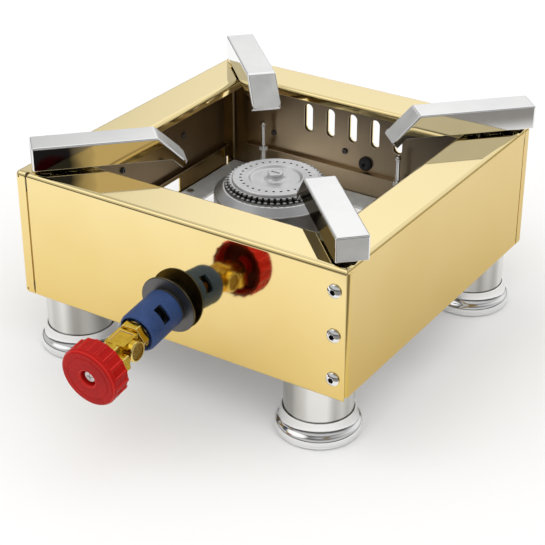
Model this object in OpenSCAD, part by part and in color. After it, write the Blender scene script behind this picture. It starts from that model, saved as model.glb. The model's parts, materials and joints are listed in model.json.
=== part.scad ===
// Table-top gas burner: a square box of folded sheet on four screw feet, four pan fingers on its
// corners, a round burner head in the middle and a gas valve on the front panel.
// Units are millimetres. +Z is up, the floor is z = 0 and the front panel faces -Y.

/* [Box] */
// Outer width and depth of the box
box_w = 300; // [260:5:360]
// Height of the side walls
box_h = 108; // [96:1:130]
// Thickness of the panel sheet
sheet_t = 1.5; // [1:0.1:2]
// Outer radius of the folded edges
bend_r = 4; // [3:0.5:6]
// Outer radius of the fold at the bottom edge
hem_r = 2.5; // [2.2:0.1:3]
// Width of the top rim
rim_w = 41; // [37:1:48]
// Height of the lip at the rim's inner edge
lip_h = 8; // [7:1:14]
// Width of the bottom flange
flange_w = 14; // [12:1:16]
// Width of the strip that a panel wraps round a corner
wrap_w = 10.5; // [8:0.5:14]
// Gap between neighbouring panels
panel_gap = 0.8; // [0.5:0.1:1.2]
// Width of the flange tucked behind the front panel
tuck_w = 26; // [20:1:32]
// Outer radius of the upright fold beside the front panel
tuck_r = 6; // [4:0.5:6.5]

/* [Panel screws] */
// Thread diameter of the panel screws
screw_d = 6; // [4:0.5:8]
// Distance of the panel screws from the corner
screw_in = 9.5; // [9.5:0.5:14]
// Spacing of the panel screws
screw_pitch = 36; // [30:1:38]

/* [Vents] */
// Number of slots in the rear wall
vent_count = 5; // [3:1:6]
// Width of a slot
vent_w = 9; // [6:0.5:12]
// Height of a slot
vent_l = 27; // [16:1:34]
// Spacing of the slots
vent_pitch = 23; // [18:1:26]
// Sideways offset of the row
vent_x = -17; // [-20:1:20]
// Depth of the row's middle below the rim
vent_down = 41; // [36:1:48]
// Length of the air window in the left wall
window_l = 124; // [80:2:150]
// Height of the air window
window_h = 13; // [8:1:15]

/* [Liners] */
// Thickness of the liner sheet
liner_t = 1; // [0.8:0.1:1.5]
// Air gap between wall and liner
liner_gap = 3; // [2:0.5:5]
// Distance of the liner's top edge below the rim
liner_top = 13; // [11:1:20]
// Height of the liner's bottom edge above the box bottom
liner_low = 28; // [24:1:34]
// Depth of the hem at the liner's bottom edge
liner_hem = 5; // [3:0.5:7]
// Distance of the liner's ends from the box corner
liner_in = 22; // [18:1:30]

/* [Base frame] */
// Thickness of the base frame
frame_t = 2.5; // [2:0.5:4]
// Width of the base frame's sides
frame_w = 26; // [24:1:32]

/* [Feet] */
// Distance of a foot's axis from the outer wall faces
foot_in = 31; // [28:1:36]
// Diameter of a foot post
foot_d = 54; // [44:1:60]
// How far the front right foot stands further in
foot_shift = 8; // [0:1:10]
// Height of the box bottom above the floor
foot_h = 52; // [46:1:70]
// Diameter of the flared base
base_d = 68; // [62:1:80]
// Height of the flared base
base_h = 21; // [17:1:24]
// Diameter of the levelling stem
stem_d = 12; // [8:1:16]
// Travel of the levelling stem
foot_travel = 12; // [6:1:13]

/* [Fingers] */
// Width of a finger
finger_w = 25; // [20:1:30]
// Thickness of a finger bar
finger_h = 19.5; // [14:0.5:22]
// Gap between finger and rim
finger_lift = 2.5; // [2:0.5:8]
// Length of a finger's level part
finger_l = 98; // [90:1:106]
// Offset of the four fingers towards the rear right corner
finger_off = 6; // [0:0.5:7]
// How far a finger's end stands in from the box corner
finger_in = 8; // [4:1:14]
// Length of the sloping tip
tip_l = 32; // [24:1:36]
// Thickness of the sloping tip
tip_t = 6; // [4:0.5:8]
// Wall of the hollow bar
finger_wall = 3; // [2:0.5:4]

/* [Burner] */
// Radius of the bowl
bowl_r = 50; // [46:1:56]
// Place of the burner's axis in front of the box's middle
burner_y = -8; // [-12:1:0]
// Height of the bowl
bowl_h = 42; // [36:1:46]
// Height of the bowl's sloping shoulder
shoulder_h = 5.7; // [4:0.1:8]
// Wall of the bowl
bowl_wall = 4; // [3:0.5:5]
// Radius of the lower port row
port_r = 41.5; // [40:0.5:44]
// Number of ports in each row, in pairs
port_pairs = 25; // [16:1:28]
// Width of a port
port_w = 2.4; // [1.6:0.2:3]
// Height of each port row
row_h = 2.6; // [2.2:0.2:4]
// Radius of the cap
cap_r = 34.5; // [33:0.5:36]
// Thickness of the cap
cap_t = 2; // [1.6:0.2:3]
// Number of small holes in the cap
hole_count = 30; // [20:1:36]

/* [Gas train] */
// Height of the gas train above the box bottom at the front panel
train_up = 38; // [35:1:42]
// Downward slope of the gas train
train_tilt = 8; // [4:1:10]
// Outer radius of the mixing tube
tube_r = 11; // [9:0.5:12]
// Wall of the mixing tube
tube_wall = 1.5; // [1:0.25:2]
// Radius of the disc
disc_r = 24; // [18:1:28]
// Length of the air sleeve
sleeve_l = 36; // [31:1:41]
// Outer radius of the air sleeve
sleeve_r = 16; // [15.5:0.5:18]
// Length of an air window along the sleeve
air_l = 8.5; // [5:0.5:10]
// Width of an air window round the sleeve
air_w = 14; // [8:0.5:15]
// Turn of the windows from the side
air_turn = 38; // [20:1:65]
// Width of the valve block
block_w = 17; // [16:0.5:20]
// Length of the valve block
block_l = 28; // [26:1:34]
// Width across the flats of the hex collar
collar_af = 22; // [21:1:28]
// Radius of the threaded inlet
stub_r = 8.3; // [7.5:0.1:8.4]
// Free length of the threaded inlet
stub_l = 5.5; // [5:0.5:10]
// Width of the test block beside the neck
test_w = 5.6; // [5:0.2:7]
// Height of the test block
test_h = 12; // [10:0.5:14]
// Length of the test block
test_l = 12; // [10:0.5:12.5]
// Radius of the spindle
spindle_r = 3; // [2.5:0.25:3.5]
// Travel of the needle
needle_lift = 3; // [1.5:0.25:3.25]

/* [Knob] */
// Radius of the knob
knob_r = 24; // [20:1:28]
// Depth of the knob
knob_l = 18; // [15:1:24]
// Number of grip pockets
grip_count = 18; // [12:1:22]
// Depth of the grip pockets
grip_deep = 1.2; // [0.6:0.2:1.8]

/* [Hidden] */
$fn = 64;
// running clearance of turning and sliding fits
fit = 0.05;
// clearance of bolts in their holes
bolt_gap = 0.1;
// distance between separate moving pieces
slack = 0.3;
// small step that keeps cuts clear of a face
cut = 1;

half = box_w / 2;
top_z = foot_h + box_h;
inner = half - sheet_t;
// top of the bottom flange, of the base frame and of the crossbar
frame_z = foot_h + sheet_t;
bar_z = frame_z + frame_t;
bar_t = 3;
foot_c = half - foot_in;

// finger: outer end and bend, measured from the box axis along the diagonal
finger_out = half * sqrt(2) - finger_in;
finger_bend = finger_out - finger_l;
finger_z = top_z + finger_lift;
tip_step = tip_l / sqrt(2);
bolt_a = finger_out - 32;
bolt_b = finger_out - 10;
plate_t = 2;
plate_w = rim_w - bend_r - sheet_t - 0.8;

// gas train stations, measured from the panel outwards
train_z = foot_h + train_up;
lip_t = 1.2;
hub_a = (lip_t + 0.3 + (tube_r + 4) * sin(train_tilt)) / cos(train_tilt);
disc_a = max(hub_a + 0.8, (1 + disc_r * sin(train_tilt)) / cos(train_tilt));
sleeve_a = 9.5;
collar_a = sleeve_a + sleeve_l + slack;
block_a = collar_a + 7;
block_end = block_a + block_l;
knob_a = block_end + 5;
knob_end = knob_a + knob_l;
air_mid = sleeve_a + sleeve_l * 0.475;
air_r = tube_r + fit + 2;
chamber_r = 4.05;
stub_a = block_a + (block_l - 10) / 2;
// flat of the neck that carries the test block, and the block's near end and port
flat_x = block_w / 2 - 0.6;
test_a = block_end - 9.5;
test_mid = block_end - 7.2;
test_y = -2.5;
bonnet_a = block_end - 5;
collar_in = bonnet_a - slack;
needle_a = block_a + 2.5;
// the needle's bore ends clear of the spindle when the needle is fully open
spindle_a = needle_a + 12;
needle_end = needle_a + 15;
bowl_out = half + burner_y - bowl_r;
tube_in = -(bowl_out + bowl_wall + 4) / cos(train_tilt);
neck_in = -(bowl_out - 15) / cos(train_tilt);
neck_r = tube_r + 4;

// burner heights
bowl_z = train_z + bowl_out * tan(train_tilt) - neck_r;
port_z = bowl_z + bowl_h;
cap_z = port_z + 2 * row_h;
bowl_top_r = port_r + 0.5;
step_r = port_r - 2.4;
core_r = port_r - 8;
pillar_x = 30;

// the frame's origin is the middle of the object's outline, so the box stands behind it
finger_r = 2;
knob_edge = 2.6;
front_reach = half + knob_end * cos(train_tilt) + (knob_r - knob_edge) * sin(train_tilt);
left_reach = foot_c + base_d / 2;
rear_reach = max(left_reach,
    (finger_out + finger_off + finger_w / 2) / sqrt(2) - finger_r * (sqrt(2) - 1));
box_x = (left_reach - rear_reach) / 2;
box_y = (front_reach - rear_reach) / 2;

// Placement helpers

module in_place() {
    translate([box_x, box_y, 0])
        children();
}

// quarter 0 is the front-left corner, then counted anticlockwise seen from above
module at_corner(k) {
    rotate([0, 0, 225 + 90 * k])
        children();
}

module at_foot(k) {
    translate([k == 1 ? -foot_shift : 0, 0, 0])
        at_corner(k)
            translate([foot_c * sqrt(2), 0, 0])
                children();
}

// the four fingers stand together a little off the box axis
module at_finger(k) {
    translate([finger_off / sqrt(2), finger_off / sqrt(2), 0])
        at_corner(k)
            children();
}

module on_train() {
    translate([0, -half, train_z])
        rotate([90 + train_tilt, 0, 0])
            children();
}

// a length along the gas train from station a to station b
module bar(r, a, b) {
    translate([0, 0, a])
        cylinder(r = r, h = b - a);
}

module hex(af, a, b) {
    translate([0, 0, a])
        cylinder(r = af / 2 / cos(30), h = b - a, $fn = 6);
}

module at_stub(a) {
    translate([0, 0, a])
        rotate([0, 90, 0])
            children();
}

// Panels

module round_block(w, h, rt, rb) {
    translate([0, rb])
        square([w, h - rt - rb]);
    translate([rt, 0])
        square([w - 2 * rt, h]);
    translate([rb, 0])
        square([w - 2 * rb, h - rt]);
    for (x = [rt, w - rt])
        translate([x, h - rt])
            circle(r = rt);
    for (x = [rb, w - rb])
        translate([x, rb])
            circle(r = rb);
}

// folded section of a panel: depth inwards and height above the box bottom
module sheet_section() {
    difference() {
        round_block(rim_w, box_h, bend_r, hem_r);
        translate([sheet_t, sheet_t])
            round_block(rim_w - 2 * sheet_t, box_h - 2 * sheet_t,
                bend_r - sheet_t, hem_r - sheet_t);
        translate([flange_w, -cut])
            square([rim_w, box_h - lip_h + cut]);
    }
}

module wall_run(x0, x1) {
    translate([x0, -half, foot_h])
        rotate([90, 0, 90])
            linear_extrude(height = x1 - x0)
                sheet_section();
}

// rounded upright corner at the right end of a wall
module corner_run() {
    translate([half - bend_r, -half + bend_r, foot_h])
        rotate([0, 0, -90])
            rotate_extrude(angle = 90)
                translate([bend_r, 0])
                    mirror([1, 0])
                        intersection() {
                            sheet_section();
                            square([bend_r, box_h]);
                        }
}

// e >= 0: the panel takes the corner and wraps it by e; e < 0: its neighbour does
function end_line(e, s) = e >= 0
    ? [[s * (half + cut), -half - cut], [s * (half + cut), -half + e],
       [s * (half - rim_w - cut), -half + rim_w + cut]]
    : [[s * (half + e - panel_gap), -half - cut],
       [s * (half - rim_w - cut - panel_gap), -half + rim_w + cut]];

function reversed(v) = [for (i = [len(v) - 1:-1:0]) v[i]];

module panel_end(e) {
    if (e > 0) {
        corner_run();
        if (e > bend_r)
            rotate([0, 0, 90])
                wall_run(-half + bend_r, -half + e);
    }
}

module panel(left, right) {
    intersection() {
        union() {
            wall_run(left > 0 ? -half + bend_r : -half, right > 0 ? half - bend_r : half);
            panel_end(right);
            mirror([1, 0, 0])
                panel_end(left);
        }
        translate([0, 0, foot_h - cut])
            linear_extrude(height = box_h + 2 * cut)
                polygon(concat(end_line(left, -1), reversed(end_line(right, 1))));
    }
}

// places of the panel screws, with the axis along -Y
module at_panel_screws() {
    for (i = [-1:1])
        translate([half - screw_in, -half, foot_h + box_h / 2 - 0.5 + i * screw_pitch])
            rotate([90, 0, 0])
                children();
}

// tongue of a panel behind the corner strip of the panel to its left
module tongue() {
    translate([-half + bend_r + 1, -half + sheet_t + 0.2, foot_h + 12])
        cube([wrap_w + 4, sheet_t, box_h - 28]);
    translate([-half + wrap_w + panel_gap, -half + sheet_t / 2, foot_h + 12])
        cube([4, sheet_t, box_h - 28]);
}

module front_panel() {
    color("#d8c48a")
        difference() {
            union() {
                panel(-wrap_w, 0);
                tongue();
            }
            at_panel_screws()
                cylinder(r = screw_d / 2 + bolt_gap, h = 12, center = true);
            translate([0, -half, train_z])
                rotate([90, 0, 0])
                    cylinder(r = tube_r + 3 + bolt_gap, h = 12, center = true);
            rivet_holes();
            rim_notches();
        }
}

// right panel: its front end is folded in behind the front panel
module right_panel() {
    back = -half + sheet_t + 0.3;
    fold_low = sheet_t + 0.2;
    color("#d8c48a")
        difference() {
            union() {
                difference() {
                    rotate([0, 0, 90])
                        panel(-0.001, -wrap_w);
                    translate([half - tuck_r, -half - cut, foot_h - cut])
                        cube([tuck_r + cut, sheet_t + 0.3 + tuck_r + cut,
                            box_h - bend_r + cut]);
                }
                translate([half - tuck_r, back + tuck_r, foot_h + fold_low])
                    rotate([0, 0, -90])
                        rotate_extrude(angle = 90)
                            translate([tuck_r - sheet_t, 0])
                                square([sheet_t, box_h - bend_r - fold_low]);
                // straight piece that joins the fold to the wall
                translate([half - sheet_t, back + tuck_r - 0.2, foot_h + hem_r])
                    cube([sheet_t, 2, box_h - bend_r - hem_r]);
                translate([half - tuck_w, back, foot_h + 6])
                    cube([tuck_w - tuck_r + 0.2, sheet_t, box_h - bend_r - 7]);
                rotate([0, 0, 90])
                    mirror([1, 0, 0])
                        tongue();
            }
            at_panel_screws()
                cylinder(r = screw_d / 2 + fit, h = 12, center = true);
            rivet_holes();
            rim_notches();
        }
}

module rear_panel() {
    color("#d8c48a")
        difference() {
            rotate([0, 0, 180])
                panel(wrap_w, wrap_w);
            vent_slots();
            rivet_holes();
            rim_notches();
        }
}

module left_panel() {
    color("#d8c48a")
        difference() {
            rotate([0, 0, -90]) {
                panel(-wrap_w, wrap_w);
                tongue();
            }
            // relief notches where the corner strip meets the folds
            for (z = [bend_r, box_h - bend_r])
                translate([-half + bend_r, -half, foot_h + z])
                    rotate([90, 0, 0])
                        cylinder(r = 0.8, h = 6, center = true);
            translate([-half - cut, -window_l / 2, foot_h + 5])
                cube([10, window_l, window_h]);
            rivet_holes();
            rim_notches();
        }
}

module vent_slots() {
    for (i = [0:vent_count - 1])
        translate([vent_x + (i - (vent_count - 1) / 2) * vent_pitch, half, top_z - vent_down])
            rotate([90, 0, 0]) {
                for (s = [-1, 1])
                    translate([0, s * (vent_l - vent_w) / 2, 0])
                        cylinder(r = vent_w / 2, h = 30, center = true);
                cube([vent_w, vent_l - vent_w, 30], center = true);
            }
}

module panel_screws() {
    color("#d9d9d6")
        at_panel_screws()
            difference() {
                union() {
                    translate([0, 0, -10])
                        cylinder(r = screw_d / 2, h = 10.2);
                    // domed head
                    intersection() {
                        cylinder(r = screw_d * 0.92, h = screw_d * 0.55);
                        translate([0, 0, screw_d * 0.55 - screw_d * 1.3])
                            sphere(r = screw_d * 1.3);
                    }
                }
                translate([0, 0, screw_d * 0.22])
                    cylinder(r = screw_d * 0.38, h = screw_d, $fn = 6);
            }
}

// Liners

liner_face = inner - liner_gap - liner_t;
liner_l = box_w - 2 * liner_in;
// the rear wall's screws sit below its slots
liner_screw_z = [top_z - 48, top_z - 48, top_z - vent_down - vent_l / 2 - 9.5, top_z - 48];

module at_liner_screws(k) {
    rotate([0, 0, 90 * k])
        for (x = [-64, 24, 100])
            translate([x * box_w / 300, -inner, liner_screw_z[k]])
                rotate([-90, 0, 0])
                    children();
}

// k counts the walls from the front, anticlockwise seen from above
module liner(k) {
    difference() {
        rotate([0, 0, 90 * k]) {
            translate([-liner_l / 2, -liner_face - liner_t, foot_h + liner_low])
                cube([liner_l, liner_t, box_h - liner_low - liner_top]);
            translate([-liner_l / 2, -liner_face - liner_t / 2, foot_h + liner_low])
                cube([liner_l, liner_hem + liner_t / 2, liner_t]);
        }
        at_liner_screws(k)
            cylinder(r = 1.6, h = 12);
    }
}

module liner_front() {
    color("#4a4038")
        difference() {
            liner(0);
            // notch for the mixing tube
            translate([-tube_r - 6, -half, foot_h])
                cube([2 * tube_r + 12, 30, train_up + tube_r + 8]);
        }
}

module liner_right() {
    color("#4a4038")
        liner(1);
}

module liner_rear() {
    color("#4a4038")
        difference() {
            liner(2);
            vent_slots();
            at_grommet()
                cylinder(r = 4, h = 20, center = true);
        }
}

module liner_left() {
    color("#4a4038")
        liner(3);
}

module liner_spacers() {
    color("#8c8c88")
        for (k = [0:3])
            at_liner_screws(k)
                difference() {
                    cylinder(r = 4, h = liner_gap);
                    translate([0, 0, 0.5])
                        cylinder(r = 1.55, h = liner_gap);
                }
}

module liner_screws() {
    color("#1c1b1a")
        for (k = [0:3])
            at_liner_screws(k) {
                translate([0, 0, 0.8])
                    cylinder(r = 1.5, h = liner_gap + liner_t);
                translate([0, 0, liner_gap + liner_t])
                    difference() {
                        cylinder(r1 = 3, r2 = 2.2, h = 1.8);
                        translate([0, 0, 0.9])
                            cylinder(r = 1, h = 2, $fn = 6);
                    }
            }
}

module at_grommet() {
    translate([-2, liner_face, foot_h + liner_low + 9])
        rotate([90, 0, 0])
            children();
}

module rear_grommet() {
    color("#161616")
        at_grommet()
            rotate_extrude()
                polygon([[1.6, -2.5], [5, -2.5], [5, -liner_t], [4, -liner_t], [4, 0], [6.5, 0],
                    [6.5, 2], [5.2, 4], [3, 5], [1.6, 5]]);
}

// Base frame

module at_rivets() {
    for (k = [0:3])
        rotate([0, 0, 90 * k])
            for (x = [-0.45, 0.45])
                translate([x * half, -half + flange_w - 5, 0])
                    children();
}

module rivet_holes() {
    at_rivets()
        translate([0, 0, foot_h - cut])
            cylinder(r = 2 + bolt_gap, h = 3 * sheet_t + frame_t);
}

module at_bar_screws() {
    for (x = [-1, 1])
        for (y = [-8, 8])
            translate([x * (half - frame_w / 2 - 2), y, 0])
                children();
}

module base_frame() {
    color("#b9b8b2")
        difference() {
            translate([0, 0, frame_z])
                linear_extrude(height = frame_t)
                    difference() {
                        square(2 * inner - 2, center = true);
                        intersection() {
                            square(2 * (half - frame_w), center = true);
                            rotate([0, 0, 45])
                                square(2 * (foot_c * sqrt(2) - 18), center = true);
                        }
                    }
            rivet_holes();
            at_bar_screws()
                translate([0, 0, foot_h])
                    cylinder(r = 2.5 + bolt_gap, h = 20);
            for (k = [0:3])
                at_foot(k)
                    translate([0, 0, foot_h])
                        cylinder(r = 5 + bolt_gap, h = 20);
            at_rods()
                cylinder(r = 2.5 + bolt_gap, h = 20, center = true);
            // corner cut away beside the right panel's fold
            translate([half - tuck_r - 1, -half - cut, frame_z - cut])
                cube([tuck_r + 2, tuck_r + 4, frame_t + 2 * cut]);
        }
}

module base_rivets() {
    color("#a8a8a4")
        at_rivets() {
            translate([0, 0, foot_h - 1.5])
                cylinder(r = 3.5, h = 1.5);
            translate([0, 0, foot_h - 0.5])
                cylinder(r = 2, h = sheet_t + frame_t + 1);
            translate([0, 0, bar_z])
                cylinder(r = 3.2, h = 1.2);
        }
}

// Ball-tipped rods on the rear side of the base frame

module at_rods() {
    for (x = [-0.35, 0.12])
        translate([x * box_w, half - 16, bar_z])
            children();
}

module rear_rods() {
    color("#8f8a82")
        at_rods() {
            translate([0, 0, -frame_t])
                cylinder(r = 2.5, h = frame_t + 30);
            cylinder(r = 5, h = 2, $fn = 6);
            cylinder(r = 2, h = 52);
            translate([0, 0, 51.4])
                sphere(r = 3);
        }
}

module rear_rod_nuts() {
    color("#b9b8b2")
        at_rods()
            translate([0, 0, 26])
                difference() {
                    cylinder(r = 4.6, h = 4, $fn = 6);
                    translate([0, 0, -cut])
                        cylinder(r = 2.5 + fit, h = 4 + 2 * cut);
                }
}

// Fingers

module at_finger_bolts(k) {
    at_finger(k)
        for (r = [bolt_a, bolt_b])
            translate([r, 0, 0])
                children();
}

module corner_plates() {
    color("#a8a8a4")
        difference() {
            for (k = [0:3])
                rotate([0, 0, 90 * k])
                    translate([-inner + 0.5, -inner + 0.5, top_z - sheet_t - plate_t])
                        cube([plate_w, plate_w, plate_t]);
            for (k = [0:3])
                at_finger_bolts(k)
                    translate([0, 0, top_z - 10])
                        cylinder(r = 3 + bolt_gap, h = 20);
            // clear of the folded edges
            for (k = [0:3])
                rotate([0, 0, 90 * k])
                    translate([-half, -half, top_z - sheet_t - plate_t - cut])
                        cube([box_w, bend_r, plate_t + 2 * cut]);
        }
}

module finger(k) {
    w = finger_wall;
    z1 = finger_z + finger_h;
    tip_x = finger_bend - tip_step;
    tip_z = z1 - tip_step;
    d = tip_t / sqrt(2);
    under = tip_x + d + finger_z - tip_z + d;
    color("#d9d9d6")
        at_finger(k)
            difference() {
                union() {
                    difference() {
                        rotate([90, 0, 0])
                            linear_extrude(height = finger_w, center = true)
                                polygon([[finger_out, finger_z], [finger_out, z1],
                                    [finger_bend, z1], [tip_x, tip_z], [tip_x + d, tip_z - d],
                                    [under, finger_z]]);
                        // hollow underside
                        translate([finger_bend + 8, -finger_w / 2 + w, finger_z - cut])
                            cube([finger_l - 8 - w, finger_w - 2 * w, finger_h - w - 1 + cut]);
                        // rounded corners of the tip and of the outer end
                        for (s = [-1, 1]) {
                            round_off(tip_x, s, 3, 1);
                            round_off(finger_out, s, finger_r, -1);
                        }
                    }
                    for (r = [bolt_a, bolt_b])
                        translate([r, 0, finger_z])
                            cylinder(r = 6.5, h = finger_h - w);
                }
                for (r = [bolt_a, bolt_b])
                    translate([r, 0, finger_z - cut])
                        cylinder(r = 3 + fit, h = finger_h - w - 3 + cut);
            }
}

// rounds an upright edge of a finger: end at x, side s, radius r, inwards direction d
module round_off(x, s, r, d) {
    tall = 6 * finger_h;
    translate([x + d * r, s * (finger_w / 2 - r), finger_z])
        difference() {
            translate([-d * r / 2 - d * cut, s * (r / 2 + cut), 0])
                cube([r + 2 * cut, r + 2 * cut, tall], center = true);
            cylinder(r = r, h = tall + 2 * cut, center = true);
        }
}

module finger_fl() { finger(0); }

module finger_fr() { finger(1); }

module finger_rr() { finger(2); }

module finger_rl() { finger(3); }

module finger_spacers() {
    color("#8c8c88")
        for (k = [0:3])
            at_finger_bolts(k)
                translate([0, 0, top_z])
                    difference() {
                        cylinder(r = 7, h = finger_lift);
                        translate([0, 0, -cut])
                            cylinder(r = 3 + bolt_gap, h = finger_lift + 2 * cut);
                    }
}

module finger_bolts() {
    color("#8c8c88")
        for (k = [0:3])
            at_finger_bolts(k) {
                translate([0, 0, top_z - sheet_t - plate_t - 1])
                    cylinder(r = 3, h = sheet_t + plate_t + finger_lift + 11);
                translate([0, 0, top_z - sheet_t - plate_t - 4])
                    cylinder(r = 5.5, h = 4, $fn = 6);
            }
}

// bolt holes through the mitred rims are half-round notches in both panels
module rim_notches() {
    for (k = [0:3])
        at_finger_bolts(k)
            translate([0, 0, top_z - 2 * sheet_t])
                cylinder(r = 3 + bolt_gap, h = 4 * sheet_t);
}

// Feet

post_z = 6 + 0.2;

module post(k) {
    r = foot_d / 2;
    color("#c9c8c4")
        at_foot(k)
            difference() {
                union() {
                    translate([0, 0, post_z])
                        cylinder(r = r, h = foot_h - post_z);
                    // boss that reaches the base frame
                    cylinder(r = 12, h = frame_z);
                }
                // hollow post with a thick lower end for the stem
                translate([0, 0, 22])
                    cylinder(r = r - 2, h = foot_h - 22 - 14);
                translate([0, 0, -cut])
                    cylinder(r = stem_d / 2 + fit, h = 30);
                translate([0, 0, foot_h - 16])
                    cylinder(r = 5 + fit, h = 30);
                translate([0, 0, -cut])
                    cylinder(r = r + cut, h = post_z + cut);
            }
}

module post_fl() { post(0); }

module post_fr() { post(1); }

module post_rr() { post(2); }

module post_rl() { post(3); }

// outline of the flared base: lip, round bead, hollow flare up to a thin edge
function base_outline() = let (b = base_h / 4, rb = base_d / 2, rt = foot_d / 2 + 1.2,
        crest = [rb - b + b * cos(56), 1 + b + b * sin(56)])
    concat([[0, 1], [rb - 1.6, 1], [rb - 1.3, 1.4], [rb - 1.3, 2]],
        [for (t = [-42:14:56]) [rb - b + b * cos(t), 1 + b + b * sin(t)]],
        [for (t = [75:-15:0]) [crest[0] - (crest[0] - rt) * cos(t),
            base_h - (base_h - crest[1]) * sin(t)]],
        [[0, base_h]]);

module foot(k) {
    r = foot_d / 2 + 0.4;
    color("#d9d9d6")
        at_foot(k) {
            rotate_extrude()
                difference() {
                    polygon(base_outline());
                    // cup for the post and recess for the pad
                    translate([0, 6])
                        square([r, base_h]);
                    square([base_d / 2 - 4, 3]);
                }
            translate([0, 0, 5])
                cylinder(r = stem_d / 2, h = foot_h - 14 - 5 - 3);
        }
}

module foot_fl() { foot(0); }

module foot_fr() { foot(1); }

module foot_rr() { foot(2); }

module foot_rl() { foot(3); }

module pad(k) {
    color("#1e1e1e")
        at_foot(k)
            cylinder(r = base_d / 2 - 4, h = 3);
}

module pad_fl() { pad(0); }

module pad_fr() { pad(1); }

module pad_rr() { pad(2); }

module pad_rl() { pad(3); }

module foot_bolts() {
    color("#a8a8a4")
        for (k = [0:3])
            at_foot(k) {
                translate([0, 0, foot_h - 11])
                    cylinder(r = 5, h = bar_z - foot_h + 11);
                translate([0, 0, bar_z])
                    cylinder(r = 9.2, h = 6.4, $fn = 6);
            }
}

// Burner and its support

module crossbar() {
    color("#8c8c88")
        difference() {
            translate([-half + 8, -15, bar_z])
                cube([box_w - 16, 30, bar_t]);
            at_bar_screws()
                translate([0, 0, bar_z - cut])
                    cylinder(r = 2.5 + bolt_gap, h = 20);
            for (s = [-1, 1])
                translate([s * pillar_x, 0, bar_z - cut])
                    cylinder(r = 2.5 + bolt_gap, h = 20);
        }
}

module crossbar_screws() {
    color("#8c8c88")
        at_bar_screws() {
            translate([0, 0, frame_z])
                cylinder(r = 2.5, h = frame_t + bar_t + 1);
            translate([0, 0, bar_z + bar_t])
                cylinder(r = 4.6, h = 3.5, $fn = 6);
        }
}

module burner_pillars() {
    color("#b9b8b2")
        for (s = [-1, 1])
            translate([s * pillar_x, 0, 0])
                difference() {
                    union() {
                        translate([0, 0, bar_z + bar_t])
                            cylinder(r = 6, h = bowl_z - bar_z - bar_t, $fn = 6);
                        // threaded end in the bowl
                        translate([0, 0, bowl_z - cut])
                            cylinder(r = 3, h = bowl_wall + cut - 0.5);
                    }
                    translate([0, 0, bar_z])
                        cylinder(r = 2.5 + fit, h = 16);
                }
}

module pillar_screws() {
    color("#8c8c88")
        for (s = [-1, 1])
            translate([s * pillar_x, 0, 0]) {
                translate([0, 0, bar_z - 1])
                    cylinder(r = 2.5, h = bar_t + 11);
                translate([0, 0, bar_z - 3])
                    cylinder(r = 4.2, h = 3);
            }
}

module burner_bowl() {
    w = bowl_wall;
    shoulder = port_z - shoulder_h;
    color("#a9a49a")
        difference() {
            union() {
                translate([0, burner_y, 0])
                    rotate_extrude()
                        polygon([[0, bowl_z], [bowl_r - 2, bowl_z], [bowl_r, bowl_z + 2],
                            [bowl_r, shoulder], [bowl_top_r, port_z], [core_r, port_z],
                            [core_r, port_z - 5], [bowl_r - w, shoulder - 1],
                            [bowl_r - w, bowl_z + w], [0, bowl_z + w]]);
                // post for the cap screw
                translate([0, burner_y, bowl_z + w / 2])
                    cylinder(r = 6, h = cap_z - cap_t - bowl_z - w / 2);
                // neck that takes the mixing tube
                on_train()
                    bar(neck_r, tube_in, neck_in);
            }
            on_train()
                bar(tube_r + fit, tube_in - 2, neck_in + cut);
            on_train()
                at_set_screw()
                    cylinder(r = 2 + fit, h = 30);
            translate([0, burner_y, bowl_z + w + 4])
                cylinder(r = 3 + fit, h = 60);
            for (s = [-1, 1])
                translate([s * pillar_x, 0, bowl_z - cut])
                    cylinder(r = 3 + fit, h = w + cut + 0.5);
        }
}

// star-shaped cutter: one arm for each port
function port_side(r, i, s) = let (w = s * asin(port_w / 2 / r), t = 180 * i / port_pairs + w)
    [r * cos(t), r * sin(t)];

module port_star() {
    hub = core_r - 3;
    polygon([for (i = [0:2 * port_pairs - 1])
        each [port_side(hub, i, -1), port_side(port_r + cut, i, -1),
            port_side(port_r + cut, i, 1), port_side(hub, i, 1)]]);
}

module port_ring() {
    color("#8f8b84")
        translate([0, burner_y, 0])
            difference() {
                rotate_extrude()
                    polygon([[core_r, port_z], [port_r, port_z], [port_r, port_z + row_h],
                        [step_r, port_z + row_h], [step_r, cap_z], [core_r, cap_z]]);
                translate([0, 0, port_z + 0.8])
                    linear_extrude(height = 2 * row_h + cut)
                        port_star();
            }
}

module burner_cap() {
    dish = cap_r * 0.6;
    color("#a5a099")
        translate([0, burner_y, 0])
            difference() {
                rotate_extrude()
                    polygon([[0, cap_z - cap_t], [dish + 2.5, cap_z - cap_t], [dish + 5, cap_z],
                        [cap_r + 0.8, cap_z], [cap_r + 0.8, cap_z + cap_t * 0.6],
                        [cap_r, cap_z + cap_t], [dish + 1.5, cap_z + cap_t],
                        [dish, cap_z + cap_t * 0.4], [dish - 1, cap_z], [0, cap_z]]);
                for (i = [0:hole_count - 1])
                    rotate([0, 0, 360 * i / hole_count])
                        translate([cap_r * 0.82, 0, cap_z - cut])
                            cylinder(r = 1.1, h = cap_t + 2 * cut);
                translate([0, 0, cap_z - cap_t - cut])
                    cylinder(r = 3 + bolt_gap, h = 20);
            }
}

module cap_screw() {
    color("#a5a099")
        translate([0, burner_y, 0])
            difference() {
                union() {
                    rotate_extrude()
                        polygon([[0, cap_z], [9.5, cap_z], [7.2, cap_z + 1], [6.3, cap_z + 2.4],
                            [6.3, cap_z + 5], [5.5, cap_z + 5.8], [0, cap_z + 5.8]]);
                    translate([0, 0, cap_z - 22])
                        cylinder(r = 3, h = 23);
                }
                translate([-4.2, -1.1, cap_z + 4.2])
                    cube([8.4, 2.2, 5]);
            }
}

// Gas train, drawn along its own axis from the panel outwards

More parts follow.
